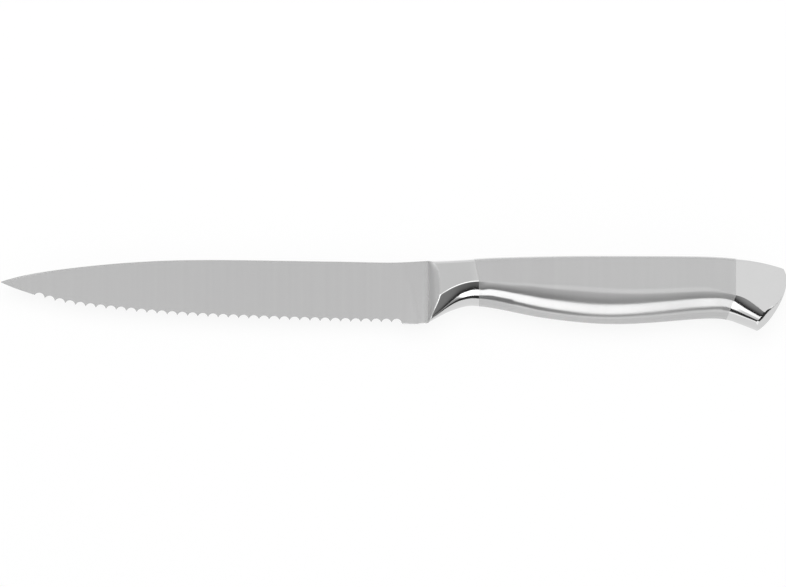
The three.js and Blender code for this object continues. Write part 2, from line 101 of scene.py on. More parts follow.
# The belly falls from the crease as a facet and turns under to the keel. Along the handle:
# how steeply the facet leaves the crease, and how late it turns under, both against the share of the length
BELLY_TILT = (
    (0, 0.4, 0), (0.05, 0.395, 0), (0.1, 0.41, 0), (0.14, 0.43, 0), (0.17, 0.27, 0), (0.21, 0.27, 0),
    (0.3, 0.38, 0), (0.42, 0.4, 0), (0.78, 0.4, 0), (0.86, 0.43, 0), (1, 0.39, 0),
)
BELLY_TURN = (
    (0, 28, -600), (0.02, 18, -350), (0.05, 8.85, -204), (0.1, 4.1, -12), (0.14, 3.5, 0), (0.17, 1.95, 0),
    (0.21, 1.9, 0), (0.3, 2.25, 0), (0.42, 2.3, 0), (0.8, 2.05, 0), (0.9, 3.05, 8), (1, 3.5, 0),
)

# The butt's chamfer starts with a narrow band: its slope at the keel, by the crease and on the flat, and
# the shares of the chamfer at which it is reached, at which it is left and at which the full slope is reached
RIM_SLOPES = (0.1, 0.68, 0.1)
RIM_SHARES = (0.04, 0.25, 0.36)

# The bolster's scoop rises with its length and is steepest at a share of it: the even rise, the rise that
# the steep part adds to each side, that share, and how far the steep part spreads
SCOOP_EVEN, SCOOP_ADDED, SCOOP_STEEP, SCOOP_SPREAD = 0.83, 0.088, 0.38, 0.24

# Shares of the way from the blade's spine to its edge, closer together where the surface turns
BLADE_SHARES = (0.01, 0.04, 0.12, 0.25, 0.4, 0.55, 0.7, 0.82, 0.92, 0.984, 1)

# Limits that keep small forms from crossing their neighbours, as shares of what they lie in
SPINE_BREAK_LIMIT = 0.1
TIP_BEVEL_LIMIT = 0.6
NOSE_LIMIT = 0.1
LIP_LIMIT = 0.4

# The grip's crease softens over this share behind the bolster and sharpens over this one before the cap
CREASE_SOFTENS, CREASE_SHARPENS = 0.4, 0.12

# The butt's chamfer widens from this share of the flat, and narrows from the same share of the belly. Its
# band tilts from a later share of the flat, over a short one. The last value is the chamfer's steepest fall.
CHAMFER_FROM, BAND_FROM, BAND_GROWS, CHAMFER_STEEP = 0.55, 0.86, 0.06, 1.7

# Counts of quads, and of the steps that a line is found or drawn with
BREAK_ROWS = 4
CROWN_ROWS = 6
FILLET_ROWS = 6
FLAT_ROWS = 12
CREASE_ROWS = 8
BELLY_ROWS = 40
BOLSTER_COLUMNS = 44
NOSE_COLUMNS = 20
LIP_COLUMNS = 6
GRIP_COLUMNS = 120
CAP_COLUMNS = 40
RIM_COLUMNS = 12
CHAMFER_COLUMNS = 4
BUTT_COLUMNS = 8
SCALLOP_COLUMNS = 12
TIP_COLUMNS = 24
HEEL_COLUMNS = 16
BUTT_SAMPLES = 96
RIM_STEPS = 40

# The frame's places and sizes that the pieces follow
BLADE_LOW, BLADE_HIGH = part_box("blade")
SHELL_LOW, SHELL_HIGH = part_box("grip_shell_left")
BOLSTER_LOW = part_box("bolster")[0]
CAP_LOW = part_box("end_cap")[0]


def linear(code):
    """An sRGB hex colour as the linear values that shaders take."""
    values = (int(code[i:i + 2], 16) / 255 for i in (0, 2, 4))
    return tuple(v / 12.92 if v <= 0.04045 else ((v + 0.055) / 1.055) ** 2.4 for v in values)


def length_setting(name, description, default):
    """A size in metres that is shown in the scene's units."""
    return FloatProperty(name=name, description=description, default=default, precision=5, unit="LENGTH")


def colour_setting(name, description, code):
    """A colour that is written in sRGB and kept in linear values."""
    return FloatVectorProperty(
        name=name, description=description, default=linear(code), subtype="COLOR", min=0, max=1
    )


class KnifeBladeSizes(bpy.types.PropertyGroup):
    """Sizes of the blade"""

    length: length_setting("Length", "Tip to bolster", BOLSTER_LOW.x - BLADE_LOW.x)
    height: length_setting("Height", "Spine at the bolster to the tooth line at the heel", 18.85 * MM)
    stock: length_setting("Stock", "Sheet thickness at the spine and the heel", BLADE_HIGH.z - BLADE_LOW.z)
    tip: length_setting("Tip thickness", "Thickness at the tip", 0.6 * MM)
    edge: length_setting("Edge thickness", "Thickness at the tooth line by the heel", 0.4 * MM)
    plain_tip: length_setting("Plain tip", "Edge without scallops at the tip", 10.5 * MM)
    plain_heel: length_setting("Plain heel", "Edge without scallops at the heel", 8.1 * MM)
    heel_drop: length_setting("Heel drop", "Heel below the tooth line", 0.56 * MM)
    heel_round: length_setting("Heel round", "Length of the heel's upward curve", 2.9 * MM)
    plunge: length_setting("Plunge radius", "Radius of the wheel that the taper grind ends in", 26 * MM)
    plunge_setback: length_setting("Plunge setback", "Bolster to the start of that run-out", 9 * MM)
    pitch: length_setting("Scallop pitch", "Tooth to tooth", 3.11 * MM)
    scallop: length_setting("Scallop radius", "Radius of one scallop", 1.6 * MM)
    land: length_setting("Tooth land", "Width of a tooth's tip", 0.12 * MM)
    spine_break: length_setting("Spine break", "Rounding of the spine's corners", 0.2 * MM)
    fillet: length_setting("Fillet", "Radius between the blade's face and the bolster", 2 * MM)
    grind: FloatProperty(
        name="Scallop grind", description="Angle between the scallops' bevel and the blade's face",
        default=math.radians(24), subtype="ANGLE",
    )


class KnifeHandleSizes(bpy.types.PropertyGroup):
    """Sizes of the handle"""

    length: length_setting("Length", "Bolster to butt", 109.3 * MM)
    height: length_setting("Height", "Tallest section of the grip", 20.83 * MM)
    thickness: length_setting("Thickness", "Across the grip's flats", 2 * (SHELL_HIGH.z - SHELL_LOW.z))
    spine_round: length_setting("Spine round", "Rounding between the spine and the flats", 0.8 * MM)
    spine_crown: length_setting("Spine crown", "Rise of the spine's middle", 0.3 * MM)
    wall: length_setting("Wall", "Sheet of the half shells", 1.2 * MM)
    crease: length_setting("Crease round", "Width of the satin crease in mid grip", 2.4 * MM)
    crease_break: length_setting("Crease break", "Width of the bolster's polished crease", 0.5 * MM)
    cap_crease: length_setting("Cap crease", "Width of the end cap's crease and the grip's ends", 0.2 * MM)
    bolster: length_setting("Bolster length", "Along the spine", 14 * MM)
    bolster_lean: length_setting("Bolster lean", "How much later its joint lies at the crease", 1.45 * MM)
    bolster_front: length_setting("Bolster front", "Thickness of the bolster at its front", 11.6 * MM)
    bolster_lip: length_setting("Bolster lip", "Rise of the fillet from the blade's face", 0.4 * MM)
    nose: length_setting("Nose", "Length of the scooped front at mid height", 2.9 * MM)
    nose_top: length_setting("Nose at the spine", "Length of the scooped front at the spine", 1.3 * MM)
    nose_fade: length_setting("Nose fade", "Depth over which the scoop grows", 2.4 * MM)
    nose_edge: length_setting("Nose edge", "Rounding of the scoop's edge above the knee", 0.08 * MM)
    nose_break: length_setting("Nose break", "Rounding of the scoop's edge below the knee", 0.3 * MM)
    nose_knee: length_setting("Nose knee", "Depth at which the scoop starts to run out", 10.6 * MM)
    nose_run_out: length_setting("Nose run-out", "Depth over which the scoop runs out", 9 * MM)
    cap: length_setting("Cap length", "Joint to butt along the spine", 15.6 * MM)
    cap_sweep: length_setting("Cap sweep", "How much earlier that joint lies at the keel", 2.7 * MM)
    butt_edge: length_setting("Butt edge", "Edge break along the butt's flats", 0.4 * MM)
    butt_chamfer: length_setting("Butt chamfer", "Edge break at the lower corner", 2.5 * MM)
    butt_upper: length_setting("Butt upper reach", "Pull of the butt's outline along the spine", 3.75 * MM)
    butt_lower: length_setting("Butt lower reach", "Pull of the butt's outline along the rear edge", 9.5 * MM)
    rear_lean: FloatProperty(
        name="Rear lean", description="Lean of the rear edge at the crease",
        default=math.radians(36), subtype="ANGLE",
    )
    corner_lean: FloatProperty(
        name="Corner lean", description="Lean of the rear edge at the lower corner",
        default=math.radians(56), subtype="ANGLE",
    )


class KnifeFinishes(bpy.types.PropertyGroup):
    """Colours of the metals and the filler"""

    blade: colour_setting("Blade", "Satin ground stainless steel", "C2C2C2")
    grip: colour_setting("Grip", "Satin brushed stainless steel", "C2C2C2")
    polish: colour_setting("Polish", "Mirror polished stainless steel", "D1D1D1")
    pin: colour_setting("Pins", "Drawn steel bar", "A8A8A8")
    resin: colour_setting("Filler", "Cast resin", "6F6A60")
    floor: colour_setting("Floor", "Painted studio floor", "F4F4F4")


# Shape tools
Section = namedtuple("Section", "spine crease keel half")
Spot = namedtuple("Spot", "place across flat_share belly_share")


def mix(low, high, share):
    """The value at a share of the way from one to the other."""
    return low + (high - low) * share


def ease(share):
    """A share that starts and ends gently."""
    share = min(max(share, 0), 1)
    return share * share * (3 - 2 * share)


def ramp(past, width):
    """How far a slope has led, past the place where it begins, if it grows to 1 over a width."""
    past = max(past, 0)
    return past * past / (2 * width) if past < width else past - width / 2


def guide(knots, length, height, start=0.0):
    """A smooth curve through knots, as the level at a distance along the knife."""
    def level(x):
        share = (x - start) / length
        last = next((i for i in range(1, len(knots)) if share <= knots[i][0]), len(knots) - 1)
        (from_share, low, low_slope), (to_share, high, high_slope) = knots[last - 1], knots[last]
        third = (to_share - from_share) / 3
        t = (share - from_share) / (to_share - from_share)
        pulls = (low, low + low_slope * third, high - high_slope * third, high)
        weights = ((1 - t) ** 3, 3 * t * (1 - t) ** 2, 3 * t * t * (1 - t), t ** 3)
        return height * sum(pull * weight for pull, weight in zip(pulls, weights))
    return level


def surface(bm, columns, rows, place):
    """A grid of quads with each vertex put on a surface, by its column and its row."""
    made = bmesh.ops.create_grid(bm, x_segments=columns, y_segments=rows, size=1)
    for vert in made["verts"]:
        column = round((vert.co.x + 1) / 2 * columns)
        row = round((vert.co.y + 1) / 2 * rows)
        vert.co = place(column, row)
    return made["verts"]


def mirrored(bm):
    """Adds the right half of a piece to its left half."""
    everything = bm.verts[:] + bm.edges[:] + bm.faces[:]
    bmesh.ops.mirror(bm, geom=everything, matrix=Matrix.Identity(4), merge_dist=MIRROR_MERGE, axis="Z")


def closed(bm):
    """Joins the seams, closes what is open and turns all faces outwards."""
    bmesh.ops.remove_doubles(bm, verts=bm.verts[:], dist=SEAM_MERGE)
    bmesh.ops.dissolve_degenerate(bm, edges=bm.edges[:], dist=MIRROR_MERGE)
    open_edges = [edge for edge in bm.edges if edge.is_boundary]
    if open_edges:
        bmesh.ops.holes_fill(bm, edges=open_edges, sides=0)
    bmesh.ops.recalc_face_normals(bm, faces=bm.faces[:])


def datum(handle):
    """The datum's place in the frame."""
    return Vector((BOLSTER_LOW.x, CAP_LOW.y - HANDLE_BELLY[-1][1] * handle.height, SHELL_LOW.z))


def placed(context, bm, name, material):
    """Makes a modelled shape an object of the scene."""
    mesh = bpy.data.meshes.new(name)
    bm.to_mesh(mesh)
    bm.free()
    mesh.materials.append(material)
    made = bpy.data.objects.new(name, mesh)
    context.collection.objects.link(made)
    return made


def piece(context, bm, name, material):
    """Makes a modelled shape a piece of the knife that stands for its CAD node."""
    bmesh.ops.translate(bm, verts=bm.verts[:], vec=datum(context.scene.knife_handle))
    made = placed(context, bm, name + "_surface", material)
    made.data.shade_smooth()
    made.data.set_sharp_from_angle(angle=SHARP_ANGLE)
    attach(made, BODY)
    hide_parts(name)


# Handle tools
class HandleLines:
    """The handle's guide curves and joint lines at the chosen sizes."""

    def __init__(self, handle):
        self.handle = handle
        self.half = handle.thickness / 2
        self.spine = guide(HANDLE_SPINE, handle.length, handle.height)
        self.crease = guide(HANDLE_CREASE, handle.length, handle.height)
        self.keel = guide(HANDLE_BELLY, handle.length, handle.height)
        self.tilt = guide(BELLY_TILT, handle.length, 1)
        self.turn = guide(BELLY_TURN, handle.length, 1)
        leant = handle.bolster + handle.bolster_lean
        back = handle.length - handle.cap
        # Each joint line's distance along the knife at the spine, the crease and the keel
        self.front = (0, 0, 0)
        self.bolster_joint = (handle.bolster, leant, leant)
        self.cap_joint = (back, back, back - handle.cap_sweep)
        ends = (HANDLE_SPINE[-1], HANDLE_CREASE[-1], HANDLE_BELLY[-1])
        self.butt = tuple(share * handle.length for share, _, _ in ends)

    def section(self, start, end, share, half=None):
        """The section at a share of the way from one joint line to the next."""
        along = [mix(a, b, share) for a, b in zip(start, end)]
        curves = (self.spine, self.crease, self.keel)
        points = [Vector((x, curve(x), 0)) for x, curve in zip(along, curves)]
        return Section(*points, self.half if half is None else half)

    def bolster(self, share):
        """The bolster swells from its front thickness and meets the grip without a kink."""
        front = self.handle.bolster_front / 2
        half = front + (self.half - front) * share * (2 - share)
        return self.section(self.front, self.bolster_joint, share, half)

    def grip(self, share):
        """The grip keeps its thickness from joint to joint."""
        return self.section(self.bolster_joint, self.cap_joint, share)

    def cap(self, share):
        """The cap runs on from the grip to the butt."""
        return self.section(self.cap_joint, self.butt, share)

    def spot(self, section, row, crease):
        """One point of a section's left side. Rows run from the middle of the spine to the keel."""
        handle = self.handle
        fall = section.crease - section.spine
        drop = section.keel - section.crease
        top = handle.spine_crown + handle.spine_round
        if row <= CROWN_ROWS:
            share = row / CROWN_ROWS
            across = (section.half - handle.spine_round) * share
            down = handle.spine_crown * share * share
            return Spot(section.spine + fall.normalized() * down, across, down / fall.length, 0)
        row -= CROWN_ROWS
        if row <= FILLET_ROWS:
            angle = math.pi / 2 * row / FILLET_ROWS
            down = handle.spine_crown + handle.spine_round * (1 - math.cos(angle))
            across = section.half - handle.spine_round * (1 - math.sin(angle))
            return Spot(section.spine + fall.normalized() * down, across, down / fall.length, 0)
        row -= FILLET_ROWS
        tilt, turn = self.tilt(section.crease.x), self.turn(section.crease.x)
        slope = section.half * tilt / drop.length
        if row <= FLAT_ROWS + CREASE_ROWS:
            # The flat bends to the facet's slope just above the crease
            if row <= FLAT_ROWS:
                past = mix(top - fall.length, -crease, math.sin(math.pi / 2 * row / FLAT_ROWS))
            else:
                past = mix(-crease, 0, (row - FLAT_ROWS) / CREASE_ROWS)
            across = section.half - slope * ramp(past + crease, crease)
            return Spot(section.crease + fall.normalized() * past, across, 1 + past / fall.length, 0)
        share = math.sin(math.pi / 2 * (row - FLAT_ROWS - CREASE_ROWS) / BELLY_ROWS)
        facet = (section.half - slope * crease / 2) * (1 - tilt * share)
        across = facet * math.sqrt(1 - min(share ** turn, 1))
        return Spot(section.crease + drop * share, across, 1, share)


HANDLE_ROWS = CROWN_ROWS + FILLET_ROWS + FLAT_ROWS + CREASE_ROWS + BELLY_ROWS


def raised(spot):
    """A section's point in space."""
    return Vector((spot.place.x, spot.place.y, spot.across))


# Blade
def arc_rise(past, radius):
    """How far an arc has risen, past the place where it leaves a flat."""
    past = min(max(past, 0), radius)
    return radius - math.sqrt(radius * radius - past * past)


class BladeLines:
    """The blade's outline and thickness at the chosen sizes."""

    def __init__(self, blade, keel_level, lip):
        self.blade = blade
        self.fillet_run = math.sqrt(lip * (2 * blade.fillet - lip))
        self.spine = guide(BLADE_SPINE, blade.length, blade.height, -blade.length)
        self.edge = guide(BLADE_EDGE, blade.length, blade.height, -blade.length)
        start, end = blade.plain_tip - blade.length, -blade.plain_heel
        count = round((end - start) / blade.pitch)
        self.teeth = [self.on_edge(mix(start, end, i / count)) for i in range(count + 1)]
        self.keel_level = keel_level
        self.set_taper()

    def on_edge(self, x):
        """The tooth line's point at a distance along the knife."""
        return Vector((x, self.edge(x)))

    def set_taper(self):
        """The plane of the taper grind: thin at the tip and the edge, full at the spine by the heel."""
        tip, heel = self.on_edge(-self.blade.length), self.teeth[-1]
        tip_half, edge_half, full = self.blade.tip / 2, self.blade.edge / 2, self.blade.stock / 2
        rise = (full - edge_half) / (self.spine(heel.x) - heel.y)
        run = (edge_half - tip_half - rise * (heel.y - tip.y)) / (heel.x - tip.x)
        self.taper = lambda place: tip_half + run * (place.x - tip.x) + rise * (place.y - tip.y)

    def half(self, place):
        """Half the thickness at a place: the taper grind, run out by a wheel, and the bolster's fillet."""
        run_out = arc_rise(place.x + self.blade.plunge_setback, self.blade.plunge)
        fillet = arc_rise(place.x + self.fillet_run, self.blade.fillet)
        return min(self.taper(place) + run_out, self.blade.stock / 2) + fillet

    def edge_points(self):
        """The edge on the left face and on the right face, from the tip to the bolster."""
        tip, first, last = -self.blade.length, self.teeth[0], self.teeth[-1]
        plain = [self.on_edge(mix(tip, first.x, i / TIP_COLUMNS)) for i in range(TIP_COLUMNS)]
        pairs = [(place, self.plain_back(place, i / TIP_COLUMNS)) for i, place in enumerate(plain)]
        for start, end in zip(self.teeth, self.teeth[1:]):
            pairs += self.scallop(start, end)
        heel = last + Vector((self.blade.heel_drop / 2, -self.blade.heel_drop))
        turn = Vector((-self.blade.heel_round, heel.y))
        corner = Vector((-self.blade.heel_round / 3, heel.y))
        foot = Vector((0, self.keel_level))
        run = [heel.lerp(turn, i / HEEL_COLUMNS) for i in range(HEEL_COLUMNS)]
        pulls = turn.lerp(corner, 2 / 3), foot.lerp(corner, 2 / 3)
        curve = interpolate_bezier(turn, *pulls, foot, HEEL_COLUMNS)
        pairs += [(place, place) for place in run + [Vector(point[:2]) for point in curve]]
        return pairs

    def plain_back(self, place, share):
        """The right face's edge at the plain tip, ground back as far as at the scallops."""
        back = 2 * self.half(place) / math.tan(self.blade.grind) * ease(share * 2)
        return place + Vector((0, min(back, (self.spine(place.x) - place.y) * TIP_BEVEL_LIMIT)))

    def scallop(self, start, end):
        """One scallop's points: an arc on the left face, and the arc that its bevel reaches on the right."""
        chord = end - start
        middle = start.lerp(end, 0.5)
        tangent = chord.normalized()
        inward = Vector((-tangent.y, tangent.x))
        radius = self.blade.scallop * chord.length / abs(chord.x)
        reach = (chord.length - self.blade.land) / 2
        centre = middle - inward * math.sqrt(max(radius * radius - reach * reach, 0))
        shift = inward * (2 * self.half(middle) / math.tan(self.blade.grind))
        front = math.asin(min(reach / radius, 1))
        back = math.asin(min(chord.length / 2 / radius, 1))
        points = []
        for i in range(SCALLOP_COLUMNS + 1):
            turn = i / SCALLOP_COLUMNS * 2 - 1
            arm = [inward * math.cos(a * turn) + tangent * math.sin(a * turn) for a in (front, back)]
            points.append((centre + arm[0] * radius, centre + shift + arm[1] * radius))
        return points


class KNIFE_OT_blade(bpy.types.Operator):
    """Models the ground blade with its scalloped edge"""

    bl_idname = "knife.blade"
    bl_label = "Blade"

    def execute(self, context):
        blade, handle = context.scene.knife_blade, context.scene.knife_handle
        lines = BladeLines(blade, HandleLines(handle).keel(0), handle.bolster_lip)
        pairs = lines.edge_points()
        corner = [math.pi / 2 * i / BREAK_ROWS for i in range(BREAK_ROWS + 1)]
        side = len(corner) + len(BLADE_SHARES)
        heel = lines.teeth[-1].x

        def place(column, row):
            """Rows run from the spine down the left face, and back up the right one."""
            front, back = pairs[column]
            if row in (0, 2 * side + 1):
                return Vector((front.x, lines.spine(front.x), 0))
            face = 1 if row <= side else -1
            step = row - 1 if row <= side else 2 * side - row
            top = Vector((front.x, lines.spine(front.x)))
            edge = front if face > 0 else back
            half = lines.half(top)
            height = max(top.y - front.y, 0)
            rounding = min(blade.spine_break, half, height * SPINE_BREAK_LIMIT)
            if step < len(corner):
                down = rounding * (1 - math.cos(corner[step]))
                across = half - rounding * (1 - math.sin(corner[step]))
                return Vector((top.x, top.y - down, face * across))
            start = top - Vector((0, rounding))
            share = BLADE_SHARES[step - len(corner)]
            spot = start.lerp(edge, share)
            broken = blade.spine_break if share == 1 and front.x > heel else 0
            return Vector((spot.x, spot.y, face * (lines.half(spot) - broken)))

        bm = bmesh.new()
        surface(bm, len(pairs) - 1, 2 * side + 1, place)
        closed(bm)
        piece(context, bm, "blade", satin_blade(context))
        return {"FINISHED"}


class KNIFE_OT_bolster(bpy.types.Operator):
    """Models the polished bolster with its scooped front"""

    bl_idname = "knife.bolster"
    bl_label = "Bolster"

    def execute(self, context):
        blade, handle = context.scene.knife_blade, context.scene.knife_handle
        lines = HandleLines(handle)
        floor = blade.stock / 2 + handle.bolster_lip
        rise = handle.bolster_front / 2 - floor

        def scoop(x, y):
            """Height of the scooped front, which is shorter at the spine and runs out below the knee."""
            grown = 1 - math.exp(-max(-y, 0) / handle.nose_fade)
            left = 1 - (max(-y - handle.nose_knee, 0) / handle.nose_run_out) ** 2
            share = x / (mix(handle.nose_top, handle.nose, grown) * max(left, NOSE_LIMIT))
            steep = math.erf((share - SCOOP_STEEP) / SCOOP_SPREAD) + math.erf(SCOOP_STEEP / SCOOP_SPREAD)
            return floor + rise * (SCOOP_EVEN * share + SCOOP_ADDED * steep)

        def body(row, share):
            return raised(lines.spot(lines.bolster(share), row, handle.crease_break))

        def nose_line(row):
            """Where a row of the side runs out into the scoop."""
            low, high = 0.0, 1.0
            if body(row, low).z <= floor:
                return low
            for _ in range(RIM_STEPS):
                middle = (low + high) / 2
                point = body(row, middle)
                low, high = (middle, high) if point.z > scoop(point.x, point.y) else (low, middle)
            return (low + high) / 2

        starts = [nose_line(row) for row in range(HANDLE_ROWS + 1)]

        def front(row, x):
            rim = body(row, starts[row])
            return Vector((x, rim.y, min(scoop(x, rim.y), rim.z)))

        def lip(row):
            """How far the rounded edge reaches to both sides of the row's rim."""
            rim = body(row, starts[row])
            below = ease((-rim.y - handle.nose_knee) / MM + 1)
            return min(mix(handle.nose_edge, handle.nose_break, below), rim.x * LIP_LIMIT)

        def side(column, row):
            start = starts[row] + lip(row) / handle.bolster
            return body(row, mix(start, 1, column / BOLSTER_COLUMNS))

        def cove(column, row):
            x = body(row, starts[row]).x - lip(row)
            return front(row, x * column / NOSE_COLUMNS)

        def rounded(column, row):
            share = column / LIP_COLUMNS
            rim, after = body(row, starts[row]), side(0, row)
            return cove(NOSE_COLUMNS, row).lerp(rim, share).lerp(rim.lerp(after, share), share)

        bm = bmesh.new()
        surface(bm, BOLSTER_COLUMNS, HANDLE_ROWS, side)
        surface(bm, LIP_COLUMNS, HANDLE_ROWS, rounded)
        surface(bm, NOSE_COLUMNS, HANDLE_ROWS, cove)
        mirrored(bm)
        closed(bm)
        piece(context, bm, "bolster", polished_steel(context))
        return {"FINISHED"}


class KNIFE_OT_grip(bpy.types.Operator):
    """Models the two satin half shells of the grip"""

    bl_idname = "knife.grip"
    bl_label = "Grip shells"

    def execute(self, context):
        handle = context.scene.knife_handle
        lines = HandleLines(handle)

        def side(column, row):
            share = column / GRIP_COLUMNS
            softened = ease(share / CREASE_SOFTENS) * ease((1 - share) / CREASE_SHARPENS)
            crease = mix(handle.cap_crease, handle.crease, softened)
            return raised(lines.spot(lines.grip(share), row, crease))

        for name, face in (("grip_shell_left", 1), ("grip_shell_right", -1)):
            bm = bmesh.new()
            surface(bm, GRIP_COLUMNS, HANDLE_ROWS, side)
            bmesh.ops.remove_doubles(bm, verts=bm.verts[:], dist=SHELL_MERGE)
            bmesh.ops.scale(bm, verts=bm.verts[:], vec=(1, 1, face))
            bmesh.ops.recalc_face_normals(bm, faces=bm.faces[:])
            if sum(vert.normal.z for vert in bm.verts) * face < 0:
                bmesh.ops.reverse_faces(bm, faces=bm.faces[:])
            bmesh.ops.solidify(bm, geom=bm.faces[:], thickness=handle.wall)
            piece(context, bm, name, satin_grip(context))
        return {"FINISHED"}


class KNIFE_OT_end_cap(bpy.types.Operator):
    """Models the polished end cap with its bulging butt"""

    bl_idname = "knife.end_cap"
    bl_label = "End cap"

    def execute(self, context):
        handle = context.scene.knife_handle
        lines = HandleLines(handle)
        end = lines.cap(1)
        before = lines.butt[0] - MM
        spine_way = (end.spine - Vector((before, lines.spine(before), 0))).normalized()
        rear_way = Vector((-math.sin(handle.rear_lean), -math.cos(handle.rear_lean), 0))
        corner_way = Vector((-math.sin(handle.corner_lean), -math.cos(handle.corner_lean), 0))
        third = (end.keel - end.crease).length / 3
        upper = interpolate_bezier(
            end.spine, end.spine + spine_way * handle.butt_upper,
            end.crease - rear_way * handle.butt_lower, end.crease, BUTT_SAMPLES,
        )
        lower = interpolate_bezier(
            end.crease, end.crease + rear_way * third, end.keel - corner_way * third, end.keel, BUTT_SAMPLES
        )

        def along(points, share):
            """The point at a share of a line's length."""
            lengths = [(b - a).length for a, b in zip(points, points[1:])]
            left = share * sum(lengths)
            for start, end, length in zip(points, points[1:], lengths):
                if left <= length:
                    return start.lerp(end, left / length)
                left -= length
            return points[-1]

        def outline(row):
            """A row's bulge at the butt's outline, its chamfer, its band's slope and its length."""
            start = lines.spot(lines.cap(0), row, handle.cap_crease)
            at_keel, by_crease, on_flat = RIM_SLOPES
            if start.belly_share > 0:
                line, share = lower, start.belly_share
                wide = 1 - ease((start.belly_share - CHAMFER_FROM) / (1 - CHAMFER_FROM))
                slope = mix(by_crease, at_keel, start.belly_share)
            else:
                line, share = upper, start.flat_share
                wide = ease((start.flat_share - CHAMFER_FROM) / (1 - CHAMFER_FROM))
                slope = mix(on_flat, by_crease, ease((start.flat_share - BAND_FROM) / BAND_GROWS))
            edge = along(line, share)
            chamfer = mix(handle.butt_edge, handle.butt_chamfer, wide)
            return edge - line[0].lerp(line[-1], share), chamfer, slope, (edge - start.place).length

        ends = [outline(row) for row in range(HANDLE_ROWS + 1)]

        def side(column, row):
            bulge, chamfer, slope, length = ends[row]
            first, second, full = (share * chamfer for share in RIM_SHARES)
            # How far from the butt's outline: up to the rim, over the rim, down the chamfer, over the butt
            stops = (length, chamfer, chamfer - full, 0)
            counts = (CAP_COLUMNS, RIM_COLUMNS, CHAMFER_COLUMNS)
            left, away = column, length
            for start, end, count in zip(stops, stops[1:], counts):
                away = mix(start, end, min(max(left / count, 0), 1))
                left -= count
                if left <= 0:
                    break
            reach = 1 - away / length
            spot = lines.spot(lines.cap(reach), row, handle.cap_crease)
            past = chamfer - away
            steep = min(CHAMFER_STEEP, spot.across / 2 / chamfer)
            fall = slope * ramp(past, first) + (steep - slope) * ramp(past - second, full - second)
            place = spot.place + bulge * reach
            inside = max(left, 0) / BUTT_COLUMNS
            return Vector((place.x, place.y, (spot.across - fall) * (1 - inside)))

        bm = bmesh.new()
        surface(bm, CAP_COLUMNS + RIM_COLUMNS + CHAMFER_COLUMNS + BUTT_COLUMNS, HANDLE_ROWS, side)
        mirrored(bm)
        closed(bm)
        piece(context, bm, "end_cap", polished_steel(context))
        return {"FINISHED"}


class KNIFE_OT_inside(bpy.types.Operator):
    """Gives the pins and the filler inside the handle their materials"""

    bl_idname = "knife.inside"
    bl_label = "Pins and filler"

    def execute(self, context):
        finishes = {"tang_pin_front": drawn_steel, "tang_pin_rear": drawn_steel, "filler_core": cast_resin}
        for name, finish in finishes.items():
            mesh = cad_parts[name].data
            mesh.materials.clear()
            mesh.materials.append(finish(context))
        return {"FINISHED"}


# Materials
def node(tree, kind, inputs=None, **settings):
    """Adds a node with its settings, and sets or links its inputs."""
    made = tree.nodes.new(kind)
    for name, value in settings.items():
        setattr(made, name, value)
    for name, value in (inputs or {}).items():
        if isinstance(value, bpy.types.NodeSocket):
            tree.links.new(value, made.inputs[name])
        else:
            made.inputs[name].default_value = value
    return made


def blank(name):
    """A material with an empty node tree, made once and then shared."""
    material = bpy.data.materials.get(name)
    if material:
        return material, None
    material = bpy.data.materials.new(name)
    material.use_nodes = True
    material.node_tree.nodes.clear()
    return material, material.node_tree


def streaks(tree, width, length, detail=3.0):
    """Lines that a belt leaves across the knife: fine along X, long the other two ways."""
    spot = node(tree, "ShaderNodeTexCoord").outputs["Object"]
    stretch = (1 / width, 1 / length, 1 / length)
    lines = node(tree, "ShaderNodeMapping", {"Vector": spot, "Scale": stretch})
    inputs = {"Vector": lines.outputs["Vector"], "Scale": 1.0, "Detail": detail}
    return node(tree, "ShaderNodeTexNoise", inputs).outputs["Fac"]


def spread(tree, value, low, high, from_low=0.3, from_high=0.7):
    """A pattern's values moved to another range."""
    inputs = {"Value": value, "From Min": from_low, "From Max": from_high, "To Min": low, "To Max": high}
    return node(tree, "ShaderNodeMapRange", inputs).outputs["Result"]


def shade(tree, colour, low, high, pattern):
    """A colour made a little darker and lighter by a pattern."""
    value = spread(tree, pattern, 0, 1)
    dark, light = (tuple(channel * tone for channel in colour) + (1,) for tone in (low, high))
    return node(tree, "ShaderNodeMix", {0: value, 6: dark, 7: light}, data_type="RGBA").outputs[2]


def metal(tree, colour, roughness, normal, haze=None):
    """Finishes a metal's node tree. Its IOR stays at the default. Haze is the share of scratched surface."""
    scratch_roughness = 0.6
    inputs = {"Base Color": colour, "Metallic": 1.0, "Roughness": roughness, "Normal": normal}
    shader = node(tree, "ShaderNodeBsdfPrincipled", inputs).outputs["BSDF"]
    if haze is not None:
        rough = {**inputs, "Roughness": scratch_roughness}
        scratched = node(tree, "ShaderNodeBsdfPrincipled", rough).outputs["BSDF"]
        shader = node(tree, "ShaderNodeMixShader", {0: haze, 1: shader, 2: scratched}).outputs["Shader"]
    node(tree, "ShaderNodeOutputMaterial", {"Surface": shader})


def satin_blade(context):
    """Stainless steel, satin ground from spine to edge: a soft grey with faint upright streaks."""
    material, tree = blank("stainless_steel_satin_ground")
    if tree:
        broad = streaks(tree, 1.6 * MM, 90 * MM)
        # A 240 grit belt leaves lines of about 0.06 mm. They are drawn 0.3 mm wide, so that they show.
        fine = streaks(tree, 0.3 * MM, 30 * MM, 2.0)
        colour = shade(tree, context.scene.knife_finishes.blade, 0.98, 1.012, broad)
        bump = node(tree, "ShaderNodeBump", {"Strength": 0.03, "Distance": 0.004 * MM, "Height": fine})
        metal(tree, colour, spread(tree, fine, 0.25, 0.27), bump.outputs["Normal"], haze=0.3)
    return material


